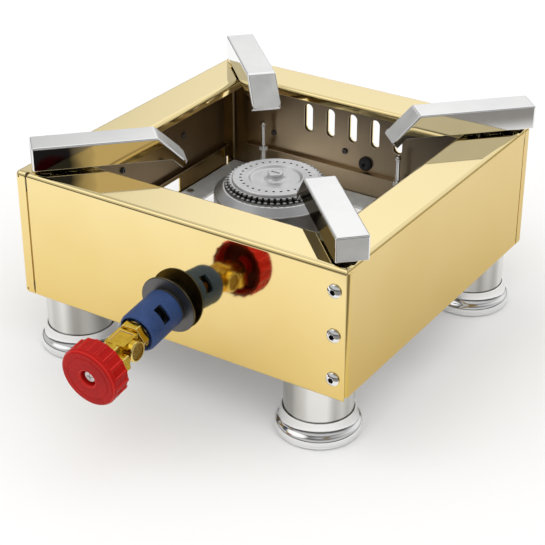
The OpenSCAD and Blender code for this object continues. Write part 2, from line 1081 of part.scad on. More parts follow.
module mixing_tube() {
    color("#b9b8b2")
        on_train()
            difference() {
                bar(tube_r, tube_in, sleeve_a + 6);
                bar(tube_r - tube_wall, tube_in - cut, sleeve_a + 6 + cut);
            }
}

module at_set_screw() {
    translate([0, 0, neck_in - 7])
        rotate([-90, 0, 0])
            translate([0, 0, tube_r + 0.2])
                children();
}

module tube_screw() {
    color("#8c8c88")
        on_train()
            at_set_screw()
                difference() {
                    cylinder(r = 2, h = 6);
                    translate([0, 0, 4])
                        cylinder(r = 1.1, h = 4, $fn = 6);
                }
}

module panel_bush() {
    color("#141414")
        difference() {
            translate([0, -half, train_z])
                rotate([90, 0, 0]) {
                    translate([0, 0, -sheet_t - 2])
                        cylinder(r = tube_r + 5, h = 2);
                    translate([0, 0, -sheet_t - 1])
                        cylinder(r = tube_r + 3, h = sheet_t + 2);
                    cylinder(r = tube_r + 5, h = lip_t);
                }
            on_train()
                bar(tube_r + fit, -20, 20);
        }
}

module shield_disc() {
    color("#141414")
        on_train()
            difference() {
                union() {
                    bar(tube_r + 4, hub_a, sleeve_a - slack);
                    bar(disc_r, disc_a, disc_a + 2);
                }
                bar(tube_r + fit, 0, 30);
            }
}

module air_windows() {
    for (i = [0, 1])
        rotate([0, 0, air_turn + 180 * i])
            translate([3, -air_w / 2, air_mid - air_l / 2])
                cube([30, air_w, air_l]);
}

module air_tube() {
    color("#c9a24e")
        on_train()
            difference() {
                bar(air_r, sleeve_a - slack, collar_a - 3);
                bar(tube_r + fit, sleeve_a - 2, collar_a + cut);
                air_windows();
            }
}

module air_sleeve() {
    e = sleeve_a + sleeve_l;
    color("#1d4f8c")
        on_train()
            difference() {
                rotate_extrude()
                    polygon([[air_r + fit, sleeve_a], [sleeve_r - 0.6, sleeve_a],
                        [sleeve_r, sleeve_a + 0.6], [sleeve_r, e - 2.6], [sleeve_r - 0.35, e - 1.3],
                        [sleeve_r - 1.1, e - 0.4], [sleeve_r - 2, e], [air_r + fit + 0.4, e],
                        [air_r + fit, e - 0.4]]);
                air_windows();
            }
}

module injector() {
    color("#c9a24e")
        on_train()
            difference() {
                union() {
                    bar(4, collar_a - 9, collar_a + 1.8);
                    hex(9, collar_a - 12, collar_a - 7.7);
                    bar(2.4, collar_a - 16, collar_a - 11);
                }
                bar(0.55, collar_a - 20, collar_a);
                bar(2, collar_a - 9, collar_a + 3);
            }
}

module valve_body() {
    h = block_w / 2;
    color("#c9a24e")
        on_train()
            difference() {
                union() {
                    // spigot in the air tube, its shoulder, hex collar and block
                    bar(tube_r, collar_a - 7.5, collar_a + cut);
                    bar(tube_r + 1, collar_a - 3, collar_a - 0.4);
                    intersection() {
                        hex(collar_af, collar_a, block_a - 0.5);
                        translate([0, 0, collar_a - 6])
                            cylinder(r1 = collar_af / 2 - 5, r2 = collar_af / 2 + 14, h = 19);
                    }
                    bar(block_w * 0.48, collar_a, block_a + cut);
                    translate([-h, -h, block_a])
                        cube([block_w, block_w, block_l - 10]);
                    hex(block_w + 0.5, block_end - 9, block_end);
                    bar(h, block_end - 11, block_end - 8);
                }
                // recessed panel on the upper face
                translate([-h + 2.5, h - 1.2, block_a + 2.5])
                    cube([block_w - 5, 3, block_l - 15]);
                bar(4 + fit, collar_a - 9, collar_a + 2);
                bar(1.5, collar_a, needle_a + 2);
                bar(chamber_r, needle_a, block_end + cut);
                bar(6 + fit, bonnet_a, block_end + cut);
                // inlet in the block's side
                at_stub(stub_a) {
                    cylinder(r = 2.5, h = 40);
                    translate([0, 0, h - 2.5])
                        cylinder(r = 4 + fit, h = 40);
                }
                // flat of the neck and passage to the test block
                translate([flat_x, -block_w, test_a])
                    cube([block_w, 2 * block_w, block_l]);
                translate([0, test_y, test_mid])
                    rotate([0, 90, 0])
                        cylinder(r = 1.2, h = block_w);
            }
}

// threaded inlet on the block's side, with a sintered filter in its mouth
module inlet_stub() {
    h = block_w / 2;
    mouth = h + stub_l - 2.6;
    color("#c9a24e")
        on_train()
            at_stub(stub_a) {
                difference() {
                    union() {
                        translate([0, 0, h - 2.4])
                            cylinder(r = 4, h = 4.5);
                        translate([0, 0, h])
                            cylinder(r = stub_r, h = stub_l - 0.8);
                        translate([0, 0, h + stub_l - 0.8])
                            cylinder(r1 = stub_r, r2 = stub_r - 0.8, h = 0.8);
                    }
                    cylinder(r = 2.5, h = 60);
                    translate([0, 0, mouth])
                        cylinder(r = stub_r - 1.8, h = 20);
                }
                translate([0, 0, mouth])
                    cylinder(r = stub_r - 1.8 - fit, h = 1.6);
            }
}

// block beside the neck, with a test port towards the knob
module side_stub() {
    color("#c9a24e")
        on_train()
            difference() {
                translate([flat_x, -block_w / 2, test_a])
                    cube([test_w, test_h, test_l]);
                translate([flat_x + test_w / 2, test_y, test_mid]) {
                    cylinder(r = 1.7, h = block_l);
                    rotate([0, -90, 0])
                        cylinder(r = 1.2, h = block_w);
                }
            }
}

module valve_bonnet() {
    color("#c9a24e")
        on_train()
            difference() {
                union() {
                    bar(6, bonnet_a, block_end + cut);
                    rotate([0, 0, 30])
                        hex(15, block_end, block_end + 7);
                }
                bar(spindle_r + fit, bonnet_a - cut, block_end + 20);
                bar(spindle_r + 2.05, block_end + 2, block_end + 4.1);
            }
}

module spindle_seal() {
    color("#141414")
        on_train()
            translate([0, 0, block_end + 3.05])
                rotate_extrude()
                    translate([spindle_r + fit + 1, 0])
                        circle(r = 1);
}

module spindle() {
    color("#b9b8b2")
        on_train()
            difference() {
                union() {
                    bar(2, spindle_a, collar_in);
                    bar(chamber_r - fit, collar_in - 2, collar_in);
                    bar(spindle_r, collar_in - cut, knob_end - 5.6);
                }
                bar(1.6, knob_end - 14, knob_end);
                // flat for the knob
                translate([spindle_r - 0.6, -5, knob_a + 3])
                    cube([5, 10, knob_l]);
            }
}

module needle() {
    color("#d6b563")
        on_train()
            difference() {
                union() {
                    translate([0, 0, needle_a + slack])
                        cylinder(r1 = 0.6, r2 = chamber_r - fit, h = 3.5);
                    bar(chamber_r - fit, needle_a + slack + 3.5 - 0.01, needle_end);
                }
                bar(2 + fit, spindle_a - slack - needle_lift, needle_end + cut);
            }
}

module knob() {
    color("#c4161c")
        on_train()
            difference() {
                rotate_extrude()
                    polygon([[0, knob_a + 4], [7, knob_a + 4], [7, knob_a + 11],
                        [knob_r - 3.5, knob_a + 11], [knob_r - 3.5, knob_a],
                        [knob_r - 0.8, knob_a], [knob_r, knob_a + 0.8],
                        [knob_r, knob_end - 3], [knob_r - 0.8, knob_end - 1],
                        [knob_r - knob_edge, knob_end], [7.4, knob_end], [6.4, knob_end - 0.8],
                        [6.2, knob_end - 5.5], [0, knob_end - 5.5]]);
                difference() {
                    bar(spindle_r + 0.02, knob_a, knob_end);
                    translate([spindle_r - 0.58, -5, knob_a + 3])
                        cube([5, 10, knob_l]);
                }
                for (i = [0:grip_count - 1])
                    rotate([0, 0, 360 * i / grip_count])
                        translate([knob_r - grip_deep, -knob_r * 0.125, knob_a - cut])
                            cube([5, knob_r * 0.25, knob_l - 4.5 + cut]);
            }
}

module knob_screw() {
    color("#c9a24e")
        on_train()
            difference() {
                union() {
                    bar(4.4, knob_end - 5.5, knob_end - 3);
                    bar(1.55, knob_end - 12, knob_end - 5);
                }
                for (t = [0, 90])
                    rotate([0, 0, t])
                        translate([-2.6, -0.5, knob_end - 4.2])
                            cube([5.2, 1, 4]);
            }
}

in_place() front_panel();
in_place() right_panel();
in_place() rear_panel();
in_place() left_panel();
in_place() panel_screws();
in_place() liner_front();
in_place() liner_right();
in_place() liner_rear();
in_place() liner_left();
in_place() liner_spacers();
in_place() liner_screws();
in_place() rear_grommet();
in_place() base_frame();
in_place() base_rivets();
in_place() rear_rods();
in_place() rear_rod_nuts();
in_place() corner_plates();
in_place() finger_fl();
in_place() finger_fr();
in_place() finger_rr();
in_place() finger_rl();
in_place() finger_spacers();
in_place() finger_bolts();
in_place() post_fl();
in_place() post_fr();
in_place() post_rr();
in_place() post_rl();
in_place() foot_fl();
in_place() foot_fr();
in_place() foot_rr();
in_place() foot_rl();
in_place() pad_fl();
in_place() pad_fr();
in_place() pad_rr();
in_place() pad_rl();
in_place() foot_bolts();
in_place() crossbar();
in_place() crossbar_screws();
in_place() burner_pillars();
in_place() pillar_screws();
in_place() burner_bowl();
in_place() port_ring();
in_place() burner_cap();
in_place() cap_screw();
in_place() mixing_tube();
in_place() tube_screw();
in_place() panel_bush();
in_place() shield_disc();
in_place() air_tube();
in_place() air_sleeve();
in_place() injector();
in_place() valve_body();
in_place() inlet_stub();
in_place() side_stub();
in_place() valve_bonnet();
in_place() spindle_seal();
in_place() spindle();
in_place() needle();
in_place() knob();
in_place() knob_screw();
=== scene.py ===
"""Looks of a table-top gas burner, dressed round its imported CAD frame."""
import json
import math

import bmesh
import bpy
from mathutils import Matrix, Vector
from mathutils.bvhtree import BVHTree

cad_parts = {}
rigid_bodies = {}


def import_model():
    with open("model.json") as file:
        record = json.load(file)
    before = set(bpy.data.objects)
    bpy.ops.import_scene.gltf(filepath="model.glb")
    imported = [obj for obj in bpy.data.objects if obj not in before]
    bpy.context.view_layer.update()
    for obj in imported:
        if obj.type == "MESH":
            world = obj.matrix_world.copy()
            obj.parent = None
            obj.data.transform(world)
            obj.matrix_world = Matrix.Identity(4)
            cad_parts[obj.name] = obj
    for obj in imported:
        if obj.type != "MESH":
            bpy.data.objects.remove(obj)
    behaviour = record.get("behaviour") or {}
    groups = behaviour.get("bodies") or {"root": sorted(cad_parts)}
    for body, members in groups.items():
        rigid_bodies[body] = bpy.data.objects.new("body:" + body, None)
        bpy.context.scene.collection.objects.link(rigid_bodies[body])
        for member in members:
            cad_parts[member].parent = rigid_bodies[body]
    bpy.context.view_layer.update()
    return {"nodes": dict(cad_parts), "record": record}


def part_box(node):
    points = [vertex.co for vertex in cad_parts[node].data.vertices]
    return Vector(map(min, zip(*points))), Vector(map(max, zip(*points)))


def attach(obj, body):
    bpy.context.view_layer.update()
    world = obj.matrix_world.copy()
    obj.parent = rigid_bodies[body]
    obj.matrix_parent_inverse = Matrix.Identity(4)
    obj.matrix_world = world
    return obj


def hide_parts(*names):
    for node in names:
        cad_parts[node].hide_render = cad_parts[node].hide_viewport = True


for leftover in list(bpy.data.objects):
    bpy.data.objects.remove(leftover)
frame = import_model()

NODES = frame["nodes"]
RECORD = frame["record"]
SLOTS = {row["node"]: row["material_slot"] for row in RECORD["subparts"]}
BODY = {
    node: body
    for body, names in RECORD["behaviour"]["bodies"].items()
    for node in names
}
MM = 0.001
CENTRE = (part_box("front_panel")[0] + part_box("rear_panel")[1]) / 2
CENTRE.x = (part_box("left_panel")[0].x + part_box("right_panel")[1].x) / 2

# Camera: above the front right corner

CAMERA_SPOT = (0.5972, -0.8851, 0.656)
CAMERA_TILT = math.radians(61.17)
CAMERA_TURN = math.radians(33.0)
FOCAL_LENGTH = 99.8
SENSOR_WIDTH = 36

scene = bpy.context.scene
scene.view_settings.view_transform = "Standard"
lens = bpy.data.cameras.new("camera")
lens.lens = FOCAL_LENGTH
lens.sensor_width = SENSOR_WIDTH
camera = bpy.data.objects.new("camera", lens)
camera.location = CAMERA_SPOT
camera.rotation_euler = (CAMERA_TILT, 0, CAMERA_TURN)
scene.collection.objects.link(camera)
scene.camera = camera


# Node trees

class Graph:
    """A node tree, built by saying what feeds each socket: another socket or a value."""

    def __init__(self, tree):
        self.tree = tree

    def add(self, kind, feeds=None, **settings):
        made = self.tree.nodes.new(kind)
        for key, value in settings.items():
            setattr(made, key, value)
        for key, value in (feeds or {}).items():
            self.feed(made.inputs[key], value)
        return made

    def feed(self, socket, value):
        if isinstance(value, bpy.types.NodeSocket):
            self.tree.links.new(value, socket)
        else:
            socket.default_value = value

    def math(self, operation, a, b):
        return self.add("ShaderNodeMath", {0: a, 1: b}, operation=operation).outputs[0]

    def dot(self, place, way):
        made = self.add("ShaderNodeVectorMath", {0: place, 1: way}, operation="DOT_PRODUCT")
        return made.outputs["Value"]

    def span(self, value, low, high, a=0.0, b=1.0, **settings):
        """The value's range from low to high, mapped to a to b and held there beyond."""
        feeds = {"Value": value, "From Min": low, "From Max": high, "To Min": a, "To Max": b}
        return self.add("ShaderNodeMapRange", feeds, **settings).outputs["Result"]

    def ramp(self, value, low, high, a=0.0, b=1.0):
        """A span with a soft start and end."""
        return self.span(value, low, high, a, b, interpolation_type="SMOOTHSTEP")

    def any_of(self, path, names):
        """1 where the ray is one of the named kinds."""
        total = path.outputs[names[0]]
        for name in names[1:]:
            total = self.math("MAXIMUM", total, path.outputs[name])
        return total

    def mixed(self, factor, first, second):
        """A shader between two others."""
        return self.add("ShaderNodeMixShader", {0: factor, 1: first, 2: second}).outputs[0]


# The middle of a noise's values, and the wider range that nearly all of them keep to
NOISE_MIDDLE = (0.3, 0.7)
NOISE_RANGE = (0.2, 0.8)


class Look(Graph):
    """One procedural material: a Principled shader and the textures that feed it."""

    def __init__(self, name, metallic=0.0, **sockets):
        self.mat = bpy.data.materials.new(name + "_look")
        self.mat.use_nodes = True
        super().__init__(self.mat.node_tree)
        self.shader = self.tree.nodes["Principled BSDF"]
        self.shader.inputs["Metallic"].default_value = metallic
        for socket, value in sockets.items():
            self.shader.inputs[socket.replace("_", " ")].default_value = value
        self.place = self.add("ShaderNodeTexCoord").outputs["Object"]
        self.normal = None

    def noise(self, scale, detail=3.0, rough=0.55, stretch=None):
        place = self.place
        if stretch is not None:
            feeds = {"Vector": place, "Scale": stretch}
            place = self.add("ShaderNodeMapping", feeds).outputs["Vector"]
        feeds = {"Vector": place, "Scale": scale, "Detail": detail, "Roughness": rough}
        return self.add("ShaderNodeTexNoise", feeds).outputs["Fac"]

    def cells(self, scale):
        feeds = {"Vector": self.place, "Scale": scale}
        return self.add("ShaderNodeTexVoronoi", feeds).outputs["Distance"]

    def axis(self, name):
        feeds = {"Vector": self.place}
        return self.add("ShaderNodeSeparateXYZ", feeds).outputs[name]

    def reach(self, spot):
        """Distance from an upright axis through the spot."""
        feeds = {"Vector": self.place, "Location": (-spot.x, -spot.y, 0), "Scale": (1, 1, 0)}
        moved = self.add("ShaderNodeMapping", feeds).outputs["Vector"]
        return self.add("ShaderNodeVectorMath", {0: moved}, operation="LENGTH").outputs["Value"]

    def soft(self, noise, a=0.0, b=1.0):
        """A noise that goes from a to b in soft patches."""
        return self.span(noise, *NOISE_MIDDLE, a, b)

    def sway(self, value, noise, size):
        """The value, moved up and down by a noise."""
        return self.math("ADD", value, self.span(noise, *NOISE_RANGE, -size, size))

    def mix(self, factor, a, b):
        made = self.add("ShaderNodeMix", data_type="RGBA")
        self.feed(made.inputs[0], factor)
        for socket, value in ((made.inputs[6], a), (made.inputs[7], b)):
            self.feed(socket, (*value, 1) if isinstance(value, tuple) else value)
        return made.outputs[2]

    def edge_wear_and_painted_light(self, color, share, tone):
        """The colour, with a share of another tone on the rounded edges: edge wear, and painted
        edge highlights (painted edge shade where the tone is darker).
        """
        edge = self.add("ShaderNodeAttribute", attribute_name="edge").outputs["Fac"]
        return self.mix(self.math("MULTIPLY", edge, share), color, tone)

    def bump(self, height, strength, depth):
        feeds = {"Height": height, "Strength": strength, "Distance": depth}
        if self.normal is not None:
            feeds["Normal"] = self.normal
        self.normal = self.add("ShaderNodeBump", feeds).outputs["Normal"]

    def done(self, color, rough):
        self.feed(self.shader.inputs["Base Color"], color)
        self.feed(self.shader.inputs["Roughness"], rough)
        if self.normal is not None:
            self.feed(self.shader.inputs["Normal"], self.normal)
        return self.mat


# Materials: where tones, painted light and painted shade change on the object, in metres

SHEET_PAINTED_LIGHT_Z = (0.045, 0.165)
LINER_SHEEN_Z = (0.08, 0.15)
LINER_SHADE_X = (-0.03, 0.09)
LINER_END_SHADE_X = (-0.135, -0.11)
REFLECTION_REACH = (0.150, 0.172)
REFLECTION_SWAY = 0.006

# How far clouds move a tone, how scratches run on the bars, the blue in cast metal
TONE_SWAY = 0.2
BAR_GRAIN = (1.0, 14.0, 3.0)
CAST_BLUE = 1.01


def gold_sheet(name="gold_sheet", low=(0.80, 0.575, 0.185), high=(0.93, 0.755, 0.37)):
    """Mirror-polished gold-toned sheet with faint haze and lines, in painted light: paler high up,
    deeper in tone low down.
    """
    k = Look(name, metallic=1.0)
    haze = k.noise(11, detail=2)
    lines = k.noise(60, detail=2, stretch=(1.0, 1.0, 22.0))
    # Painted light: paler high up, deeper in tone low down, moved by the haze.
    painted_light_rise = k.sway(k.span(k.axis("Z"), *SHEET_PAINTED_LIGHT_Z), haze, TONE_SWAY)
    color = k.mix(k.span(painted_light_rise, 0.0, 1.0), low, high)
    # Paler rounded edges: wear and a painted highlight.
    color = k.edge_wear_and_painted_light(color, 0.25, (0.96, 0.82, 0.48))
    dull = k.math("ADD", haze, k.math("MULTIPLY", lines, 0.5))
    k.bump(k.noise(5, detail=1), strength=0.04, depth=0.004)
    k.bump(lines, strength=0.012, depth=0.0004)
    return k.done(color, rough=k.span(dull, 0.5, 1.0, 0.03, 0.075))


def gold_rim_painted_light():
    """The rim's level faces: the same sheet, paler, as painted light."""
    return gold_sheet("gold_rim_painted_light", (0.91, 0.735, 0.345), (0.94, 0.785, 0.42))


def gold_side_painted_shade():
    """The right wall: the same sheet, a shade deeper, as painted shade."""
    return gold_sheet("gold_side_painted_shade", (0.64, 0.44, 0.10), (0.74, 0.555, 0.225))


def heat_tint_and_painted_shade():
    """Inside of the walls and their undersides: the gold tone turned brown in soft clouds, as heat
    tint and as painted shade.
    """
    k = Look("heat_tint_and_painted_shade", metallic=1.0)
    cloud = k.noise(16, detail=2)
    color = k.mix(k.soft(cloud), (0.27, 0.165, 0.055), (0.42, 0.29, 0.12))
    k.bump(k.noise(300, detail=2, stretch=(1.0, 1.0, 8.0)), strength=0.02, depth=0.0002)
    return k.done(color, rough=k.soft(cloud, 0.17, 0.27))


def polished_steel():
    """Bright polished bar: hairline scratches and a soft variation of gloss."""
    k = Look("polished_steel", metallic=1.0)
    cloud = k.noise(30)
    hair = k.noise(120, detail=4, stretch=BAR_GRAIN)
    color = k.mix(k.soft(cloud), (0.84, 0.84, 0.84), (0.90, 0.90, 0.891))
    # Paler rounded edges: wear and a painted highlight.
    color = k.edge_wear_and_painted_light(color, 0.5, (0.97, 0.97, 0.9603))
    k.bump(hair, strength=0.015, depth=0.0003)
    return k.done(color, rough=k.span(k.math("ADD", cloud, hair), 0.7, 1.3, 0.05, 0.09))


def oiled_black_and_painted_shade():
    """Black: painted shade in the screw sockets and on the air tube, and the oiled black of the
    finger spacers.
    """
    k = Look("oiled_black_and_painted_shade", metallic=1.0)
    cloud = k.noise(400, detail=2)
    color = k.mix(k.soft(cloud), (0.02, 0.02, 0.02), (0.045, 0.044, 0.042))
    return k.done(color, rough=k.soft(cloud, 0.35, 0.5))


def ground_steel():
    """Ground end faces of the bars: dull, fine grain."""
    k = Look("ground_steel", metallic=0.35)
    grain = k.noise(900, stretch=(1.0, 1.0, 0.25))
    cloud = k.noise(45, detail=2)
    color = k.mix(k.soft(cloud), (0.43, 0.43, 0.42), (0.53, 0.53, 0.515))
    # Paler rounded edges: wear and a painted highlight.
    color = k.edge_wear_and_painted_light(color, 0.6, (0.90, 0.90, 0.89))
    k.bump(grain, strength=0.06, depth=0.0002)
    return k.done(color, rough=k.soft(grain, 0.32, 0.44))


def chrome_side_painted_reflection(name="chrome_side_painted_reflection", near=(0.86, 0.70, 0.40), end=(0.035, 0.035, 0.036)):
    """Side of a front bar with a painted reflection: gold-tinted near the middle, dark towards its
    outer end.
    """
    k = Look(name, metallic=1.0, Specular_Tint=(0.40, 0.38, 0.34, 1))
    cloud = k.noise(40, detail=2)
    far = k.sway(k.reach(CENTRE), cloud, REFLECTION_SWAY)
    # Painted reflection: gold-tinted inner part, dark outer end.
    color = k.mix(k.span(far, *REFLECTION_REACH), near, end)
    k.bump(k.noise(120, detail=4, stretch=BAR_GRAIN), strength=0.02, depth=0.0003)
    return k.done(color, rough=k.soft(cloud, 0.05, 0.11))


def dark_side_painted_reflection():
    """The other front bar's side over the burner: a painted reflection, dark at its inner end."""
    return chrome_side_painted_reflection("dark_side_painted_reflection", (0.20, 0.19, 0.175), (0.34, 0.28, 0.18))


def satin_steel():
    """Turned post: fine rings round it, soft upright bands of tone as a painted reflection."""
    k = Look("satin_steel", metallic=1.0)
    rings = k.noise(40, stretch=(0.4, 0.4, 60.0))
    painted_reflection_bands = k.noise(46, detail=1.5, stretch=(1.0, 1.0, 0.02))
    # Painted reflection: upright bands of lighter and darker tone.
    color = k.mix(k.span(painted_reflection_bands, 0.36, 0.64), (0.40, 0.39, 0.365), (0.80, 0.79, 0.76))
    # Paler rounded edges: wear and a painted highlight.
    color = k.edge_wear_and_painted_light(color, 0.5, (0.90, 0.90, 0.89))
    k.bump(rings, strength=0.05, depth=0.0003)
    return k.done(color, rough=k.soft(rings, 0.16, 0.26))


def dark_liner():
    """Heat-darkened satin sheet with a level grain: paler and warmer low down as a painted sheen,
    darker to its two ends as painted shade.
    """
    k = Look("dark_liner", metallic=1.0)
    # Painted sheen: paler and warmer low down.
    painted_sheen = k.sway(k.span(k.axis("Z"), *LINER_SHEEN_Z), k.noise(9, detail=2), TONE_SWAY)
    color = k.mix(k.span(painted_sheen, 0.0, 1.0), (0.64, 0.50, 0.33), (0.30, 0.24, 0.175))
    # Painted shade: darker towards the right end.
    shade = k.span(k.axis("X"), *LINER_SHADE_X, 0.0, 0.82)
    color = k.mix(shade, color, (0.06, 0.054, 0.047))
    # Painted shade: darker brown at the left end.
    end = k.span(k.axis("X"), *LINER_END_SHADE_X, 0.7, 0.0)
    color = k.mix(end, color, (0.10, 0.062, 0.02))
    # Paler rounded edges: wear and a painted highlight.
    color = k.edge_wear_and_painted_light(color, 0.6, (0.62, 0.50, 0.34))
    grain = k.noise(420, stretch=(1.0, 1.0, 9.0))
    k.bump(grain, strength=0.05, depth=0.0002)
    return k.done(color, rough=k.soft(grain, 0.27, 0.35))


def zinc_steel():
    """Zinc plate: dull grey with faint spangle."""
    k = Look("zinc_steel", metallic=1.0)
    cloud = k.noise(50)
    color = k.mix(k.span(k.cells(160), 0.1, 0.7), (0.74, 0.74, 0.72), (0.64, 0.64, 0.62))
    # Paler rounded edges: wear and a painted highlight.
    color = k.edge_wear_and_painted_light(color, 0.6, (0.84, 0.84, 0.82))
    k.bump(cloud, strength=0.05, depth=0.0003)
    return k.done(color, rough=k.soft(cloud, 0.36, 0.50))


def galvanised():
    """Base plate: pale dull zinc."""
    k = Look("galvanised", metallic=0.2)
    cloud = k.noise(40)
    color = k.mix(k.span(k.cells(140), 0.1, 0.7), (0.84, 0.85, 0.83), (0.76, 0.77, 0.75))
    # Paler rounded edges: wear and a painted highlight.
    color = k.edge_wear_and_painted_light(color, 0.5, (0.86, 0.86, 0.84))
    k.bump(cloud, strength=0.04, depth=0.0003)
    return k.done(color, rough=k.soft(cloud, 0.38, 0.52))


def black_steel():
    """Smoky dark finish of the disc and the liner screws."""
    k = Look("black_steel", metallic=1.0)
    cloud = k.noise(60)
    color = k.mix(k.soft(cloud), (0.125, 0.123, 0.12), (0.165, 0.162, 0.158))
    # Darker rounded edges: wear and painted shade.
    color = k.edge_wear_and_painted_light(color, 0.8, (0.02, 0.02, 0.02))
    k.bump(k.noise(700, detail=2), strength=0.03, depth=0.0002)
    return k.done(color, rough=k.soft(cloud, 0.34, 0.44))


def black_rubber():
    """Matt moulded rubber with a fine skin."""
    k = Look("black_rubber", Specular_IOR_Level=0.35)
    cloud = k.noise(80, detail=4)
    color = k.mix(k.soft(cloud), (0.014, 0.014, 0.015), (0.028, 0.028, 0.029))
    k.bump(k.noise(1500), strength=0.15, depth=0.0002)
    return k.done(color, rough=k.soft(cloud, 0.55, 0.75))


def cast_burner(name="cast_burner", low=0.56, high=0.72, edge=0.90):
    """Bead-blasted casting with fine grain, and paler edges as wear and painted highlight."""
    k = Look(name, metallic=1.0)
    grain = k.noise(1400, detail=4)
    dark, light = ((tone, tone, tone * CAST_BLUE) for tone in (low, high))
    color = k.mix(k.soft(k.noise(40)), dark, light)
    color = k.edge_wear_and_painted_light(color, 0.7, (edge, edge, edge))
    k.bump(grain, strength=0.22, depth=0.0003)
    k.bump(k.noise(180), strength=0.08, depth=0.0006)
    return k.done(color, rough=k.soft(grain, 0.30, 0.44))


def cast_skin():
    """Duller skin, as cast: the bowl's outside and the beads."""
    return cast_burner("cast_skin", 0.38, 0.48, 0.68)


def burner_painted_shade():
    """Near-black painted shade in the burner's ports, holes and hollows."""
    k = Look("burner_painted_shade", Specular_IOR_Level=0.2)
    cloud = k.noise(300)
    color = k.mix(k.soft(cloud), (0.006, 0.006, 0.006), (0.018, 0.017, 0.016))
    k.bump(k.noise(1500), strength=0.2, depth=0.0002)
    return k.done(color, rough=k.soft(cloud, 0.7, 0.9))


def brass():
    """Turned brass: edges bright as wear and painted highlight, duller faces, slight tarnish in
    clouds.
    """
    k = Look("brass", metallic=1.0)
    tarnish = k.noise(120, detail=4)
    color = k.mix(k.soft(tarnish), (0.72, 0.45, 0.035), (0.86, 0.60, 0.075))
    color = k.edge_wear_and_painted_light(color, 0.7, (0.98, 0.87, 0.42))
    k.bump(k.noise(1100), strength=0.05, depth=0.0002)
    return k.done(color, rough=k.soft(tarnish, 0.14, 0.26))


def sintered():
    """Sintered bronze filter: a bed of tiny fused grains."""
    k = Look("sintered", metallic=1.0)
    grains = k.cells(1500)
    color = k.mix(k.span(grains, 0.15, 0.6), (0.68, 0.47, 0.10), (0.22, 0.125, 0.02))
    k.bump(grains, strength=-0.9, depth=0.0006)
    return k.done(color, rough=k.span(grains, 0.1, 0.6, 0.28, 0.5))


def blue_sleeve():
    """Deep blue satin coat with a fine speckle."""
    k = Look("blue_sleeve", Specular_IOR_Level=0.25)
    speckle = k.noise(1500, detail=2, rough=0.7)
    color = k.mix(k.soft(k.noise(60)), (0.018, 0.042, 0.130), (0.027, 0.062, 0.185))
    color = k.mix(k.span(speckle, 0.54, 0.70, 0.0, 0.5), color, (0.075, 0.135, 0.30))
    # Paler rounded edges: wear and a painted highlight.
    color = k.edge_wear_and_painted_light(color, 0.4, (0.06, 0.11, 0.26))
    k.bump(speckle, strength=0.16, depth=0.0003)
    return k.done(color, rough=k.soft(speckle, 0.42, 0.56))


def red_knob(name="red_knob", low=(0.32, 0.004, 0.003), high=(0.40, 0.007, 0.005)):
    """Semi-gloss moulded red: faint orange peel, paler edges as handling wear and painted
    highlight.
    """
    k = Look(name, Specular_IOR_Level=0.10)
    color = k.mix(k.soft(k.noise(70)), low, high)
    color = k.edge_wear_and_painted_light(color, 0.4, (0.74, 0.05, 0.04))
    k.bump(k.noise(500, detail=2), strength=0.05, depth=0.0004)
    return k.done(color, rough=k.soft(k.noise(160), 0.22, 0.34))


def knob_back():
    """The knob's unlit back: the same moulding, nearly black."""
    return red_knob("knob_back", (0.045, 0.003, 0.003), (0.065, 0.004, 0.004))


MATERIALS = {
    make.__name__: make()
    for make in (
        gold_sheet, gold_rim_painted_light, gold_side_painted_shade, heat_tint_and_painted_shade, polished_steel, oiled_black_and_painted_shade, ground_steel,
        chrome_side_painted_reflection, dark_side_painted_reflection, satin_steel, dark_liner, zinc_steel, galvanised,
        black_steel, black_rubber, cast_burner, cast_skin,
        burner_painted_shade, brass, sintered, blue_sleeve, red_knob, knob_back,
    )
}

# Dressed copies of the CAD pieces: lengths in metres, angles in degrees

JOIN_WITHIN = 2e-6
FLAT_WITHIN = 0.6
ROUND_OVER = 30
SHADE_SHARP_OVER = 40
ROUND_TRIES = 6
WILD_SIZES = 1.1
CLEAR_SIZES = 2.5


def clean_copy(node):
    """The node's mesh with its split vertices joined and its flat faces whole."""
    mesh = NODES[node].data.copy()
    if "custom_normal" in mesh.attributes:
        mesh.attributes.remove(mesh.attributes["custom_normal"])
    bm = bmesh.new()
    bm.from_mesh(mesh)
    bmesh.ops.remove_doubles(bm, verts=bm.verts, dist=JOIN_WITHIN)
    bmesh.ops.dissolve_limit(
        bm, angle_limit=math.radians(FLAT_WITHIN), verts=bm.verts, edges=bm.edges)
    for e in bm.edges:
        e.smooth = True
    return mesh, bm


def sharp_edges(bm, angle):
    limit = math.radians(angle)
    return [e for e in bm.edges if len(e.link_faces) == 2 and e.calc_face_angle(0) > limit]


def shade(bm, angle):
    """Smooth shading, broken at edges sharper than the angle."""
    for f in bm.faces:
        f.smooth = True
    for e in sharp_edges(bm, angle):
        e.smooth = False


def rounded(bm, picked, size, steps):
    """A copy of bm with the picked edges rounded, except edges with no room for the round.

    A vertex that ends up away from the old surface shows where the room was missing.
    """
    shape = BVHTree.FromBMesh(bm)
    picked = set(picked)
    for _ in range(ROUND_TRIES):
        trial = bm.copy()
        trial.edges.ensure_lookup_table()
        mark = trial.faces.layers.float["edge"]
        made = bmesh.ops.bevel(
            trial, geom=[trial.edges[i] for i in sorted(picked)], offset=size, segments=steps,
            offset_type="OFFSET", profile=0.5, affect="EDGES", clamp_overlap=False,
        )
        for f in made["faces"]:
            f[mark] = 1.0
        wild = {v for v in trial.verts if shape.find_nearest(v.co)[3] > WILD_SIZES * size}
        if not wild:
            return trial
        near = [w.co.copy() for v in wild for f in v.link_faces for w in f.verts if w not in wild]
        trial.free()
        bm.edges.ensure_lookup_table()
        dropped = {
            i for i in picked
            if any((v.co - p).length < CLEAR_SIZES * size for v in bm.edges[i].verts for p in near)
        }
        if not dropped or dropped == picked:
            break
        picked -= dropped
    return bm.copy()


